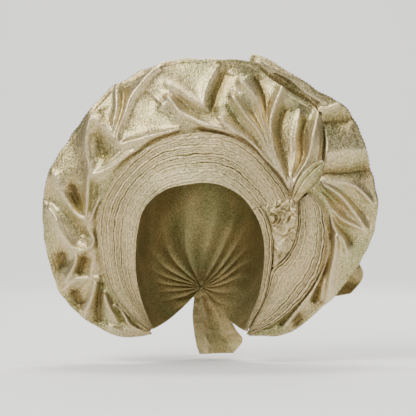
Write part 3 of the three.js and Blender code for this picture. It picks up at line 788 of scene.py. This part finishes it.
class Finish:
    """A material whose nodes are added one by one."""

    def __init__(self, name):
        self.material = bpy.data.materials.new(name)
        self.material.use_nodes = True
        self.tree = self.material.node_tree
        self.shader = self.tree.nodes["Principled BSDF"]

    def add(self, kind, settings, sockets, output=0):
        """Adds a node: its settings first, then the values or links of its sockets."""
        node = self.tree.nodes.new(kind)
        for name, value in settings.items():
            setattr(node, name, value)
        for name, value in sockets.items():
            self.feed(node.inputs[name], value)
        return Value(self, node.outputs[output])

    def feed(self, socket, value):
        if isinstance(value, Value):
            self.tree.links.new(value.socket, socket)
        else:
            socket.default_value = value

    def set(self, **values):
        """Sets or links the shader's own sockets."""
        for name, value in values.items():
            self.feed(self.shader.inputs[name.replace("_", " ")], value)

    def mix(self, share, a, b):
        """A colour between a and b."""
        return self.add("ShaderNodeMix", {"data_type": "RGBA"}, {0: share, 6: a, 7: b}, output=2)

    def between(self, value, low, high):
        """0 at low and 1 at high, clamped."""
        return self.add("ShaderNodeMapRange", {}, {"Value": value, "From Min": low, "From Max": high})

    def noise(self, place, scale, detail):
        return self.add("ShaderNodeTexNoise", {}, {"Vector": place, "Scale": scale, "Detail": detail})


def shimmer_cloth(name, settings):
    """Metallic shimmer cloth with painted light: champagne painted highlights on the crests, umber painted
    shade in the valleys, drifting olive and gold, and a gritty grain.
    """
    painted_highlight_share, grain, roughness = (FINISHES[name][key] for key in ("painted_highlight_share", "grain", "roughness"))
    cloth = Finish(name)
    place = cloth.add("ShaderNodeTexCoord", {}, {}, output=3)
    threads = cloth.add("ShaderNodeMapping", {}, {"Vector": place, "Scale": THREAD_STRETCH})
    # Each point's painted light, stored on the mesh.
    crest_and_painted_light = cloth.add("ShaderNodeAttribute", {"attribute_name": "crest_and_painted_light"}, {}, output=2)
    drift = cloth.between(cloth.noise(place, DRIFT_SCALE, 3), 0.36, 0.62)
    speckle = cloth.between(cloth.noise(place, grain, 1), 0.36, 0.64)
    thread = cloth.between(cloth.noise(threads, grain, 2), 0.35, 0.65)
    grit = 0.65 * speckle + 0.35 * thread
    tint = cloth.mix(drift, (*settings.olive, 1), (*settings.gold, 1))
    # Painted shade: umber in the valleys, olive and gold elsewhere.
    shade = cloth.mix(cloth.between(crest_and_painted_light + 0.2 * grit, 0.06, 0.5), (*settings.umber, 1), tint)
    # Painted highlight: champagne on the crests, broken up by the grain.
    painted_highlight = cloth.between(crest_and_painted_light + 0.6 * grit, 0.5, 1.2) * painted_highlight_share
    sheen = cloth.mix(painted_highlight, shade, (*settings.champagne, 1))
    colour = cloth.mix(0.4 - 0.4 * grit, sheen, (*settings.umber, 1))
    relief = {"Strength": BUMP_STRENGTH, "Distance": BUMP_HEIGHT, "Height": grit}
    bump = cloth.add("ShaderNodeBump", {}, relief)
    cloth.set(
        Base_Color=colour,
        Roughness=roughness + 0.16 * grit,
        Metallic=METAL,
        Specular_IOR_Level=0.5,
        Normal=bump,
    )
    return cloth.material


class GELE_OT_pleats(bpy.types.Operator):
    """Model the pleated arch, the cheek pleats and the side lobe"""

    bl_idname = "gele.pleats"
    bl_label = "Pleats"

    def execute(self, context):
        settings = context.scene.gele
        cloth = shimmer_cloth("pleated_shimmer_cloth", settings)
        pleat_stack("pleat_arch", settings.arch_pleats, arch_place, settings, cloth)
        pleat_stack("cheek_pleats", settings.cheek_pleats, cheek_place, settings, cloth)
        pleat_stack("side_pleats", settings.lobe_pleats, lobe_place, settings, cloth)
        return {"FINISHED"}


class GELE_OT_fans(bpy.types.Operator):
    """Model the two ruffled fans"""

    bl_idname = "gele.fans"
    bl_label = "Fans"

    def execute(self, context):
        settings = context.scene.gele
        cloth = shimmer_cloth("fan_shimmer_cloth", settings)
        crown_fan(settings, cloth)
        side_fan(settings, cloth)
        return {"FINISHED"}


class GELE_OT_knot(bpy.types.Operator):
    """Model the tucked leaf and the crumpled bunches at the knot"""

    bl_idname = "gele.knot"
    bl_label = "Knot"

    def execute(self, context):
        settings = context.scene.gele
        cloth = shimmer_cloth("knot_shimmer_cloth", settings)
        tucked_leaf(settings, cloth)
        for name in BUNCHES:
            crumpled_bunch(name, cloth)
        return {"FINISHED"}


class GELE_OT_back(bpy.types.Operator):
    """Model the cap, the tie at the nape and the two free ends"""

    bl_idname = "gele.back"
    bl_label = "Back"

    def execute(self, context):
        settings = context.scene.gele
        cloth = shimmer_cloth("back_shimmer_cloth", settings)
        head_cap(settings, cloth)
        nape_knot(cloth)
        for name in FREE_ENDS:
            free_end(name, settings, cloth)
        return {"FINISHED"}


# The stage, in metres
STAGE_FLOOR_Z = -0.245
STAGE_FRONT_Y = -5.0
STAGE_BACK_Y = 3.4
STAGE_BEND = 0.9
STAGE_LENGTH = 12.0
STAGE_WIDTH = 12.0
CAMERA_PLACE = (0.0084, -2.43, -0.0552)
CAMERA_LENS = 173.0
HEAD_TIE = (0.0, -0.03, -0.05)
BACKDROP = (0.0, STAGE_BACK_Y, 0.2)
STUDIO_TINT = (1.0, 0.98, 0.95, 1.0)
STUDIO_GLOW = 0.1
PAPER_DARK = (0.86, 0.85, 0.83, 1.0)
PAPER_LIGHT = (0.9, 0.89, 0.87, 1.0)
LIGHTS = [dict(zip("name place aim size power".split(), row)) for row in [
    ("key", (-1.0, -1.4, 1.3), HEAD_TIE, 0.9, 54.0),
    ("fill", (1.5, -1.4, 0.2), HEAD_TIE, 0.6, 9.0),
    ("top", (0.4, -0.4, 1.9), HEAD_TIE, 0.8, 20.0),
    ("rear", (0.7, 1.9, 1.2), HEAD_TIE, 0.8, 16.0),
    ("backdrop", (0.0, 1.2, 3.2), BACKDROP, 1.5, 150.0),
]]


def sweep_backdrop():
    """A pale floor that curves up behind the head tie."""
    mesh, u, v = grid_mesh("stage_sweep", *GRID["stage_sweep"])
    run = STAGE_FRONT_Y + STAGE_LENGTH * v
    turn = np.clip((run - STAGE_BACK_Y + STAGE_BEND) / STAGE_BEND, 0, math.pi / 2)
    straight = np.minimum(run, STAGE_BACK_Y - STAGE_BEND)
    wall = np.maximum(run - STAGE_BACK_Y + STAGE_BEND - STAGE_BEND * math.pi / 2, 0)
    y = straight + STAGE_BEND * np.sin(turn)
    z = STAGE_FLOOR_Z + STAGE_BEND * (1 - np.cos(turn)) + wall
    mesh.vertices.foreach_set("co", np.stack([STAGE_WIDTH * (u - 0.5), y, z], axis=1).ravel())
    mesh.polygons.foreach_set("use_smooth", np.ones(len(mesh.polygons), bool))
    paper = Finish("stage_paper")
    place = paper.add("ShaderNodeTexCoord", {}, {}, output=3)
    tone = paper.mix(paper.noise(place, 3, 2), PAPER_DARK, PAPER_LIGHT)
    paper.set(Base_Color=tone, Roughness=0.9)
    mesh.materials.append(paper.material)
    sweep = bpy.data.objects.new("stage_sweep", mesh)
    bpy.context.scene.collection.objects.link(sweep)


class GELE_OT_stage(bpy.types.Operator):
    """Set up the pale floor, the soft lights and the camera"""

    bl_idname = "gele.stage"
    bl_label = "Stage"

    def execute(self, context):
        scene = context.scene
        sweep_backdrop()
        for row in LIGHTS:
            lamp = bpy.data.lights.new(row["name"], "AREA")
            lamp.energy = row["power"]
            lamp.size = row["size"]
            light = bpy.data.objects.new(row["name"], lamp)
            light.location = row["place"]
            sight = Vector(row["aim"]) - light.location
            light.rotation_euler = sight.to_track_quat("-Z", "Y").to_euler()
            scene.collection.objects.link(light)
        scene.world = bpy.data.worlds.new("studio")
        scene.world.use_nodes = True
        background = scene.world.node_tree.nodes["Background"]
        background.inputs["Color"].default_value = STUDIO_TINT
        background.inputs["Strength"].default_value = STUDIO_GLOW
        lens = bpy.data.cameras.new("front")
        lens.lens = CAMERA_LENS
        camera = bpy.data.objects.new("front", lens)
        camera.location = CAMERA_PLACE
        camera.rotation_euler = (math.pi / 2, 0, 0)
        scene.collection.objects.link(camera)
        scene.camera = camera
        return {"FINISHED"}


class GELE_PT_panel(bpy.types.Panel):
    """Lists the head tie's settings and operators"""

    bl_idname = "GELE_PT_panel"
    bl_label = "Gele"
    bl_space_type = "VIEW_3D"
    bl_region_type = "UI"
    bl_category = "Gele"

    def draw(self, context):
        for name in GeleSettings.__annotations__:
            self.layout.prop(context.scene.gele, name)
        for operator in OPERATORS:
            self.layout.operator(operator.bl_idname)


OPERATORS = (GELE_OT_pleats, GELE_OT_fans, GELE_OT_knot, GELE_OT_back, GELE_OT_stage)
CLASSES = (GeleSettings, *OPERATORS, GELE_PT_panel)


def register():
    for cls in CLASSES:
        bpy.utils.register_class(cls)
    bpy.types.Scene.gele = PointerProperty(type=GeleSettings)


def unregister():
    del bpy.types.Scene.gele
    for cls in reversed(CLASSES):
        bpy.utils.unregister_class(cls)


def main():
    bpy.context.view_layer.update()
    register()
    bpy.ops.gele.pleats()
    bpy.ops.gele.fans()
    bpy.ops.gele.knot()
    bpy.ops.gele.back()
    bpy.ops.gele.stage()


if __name__ == "__main__":
    main()
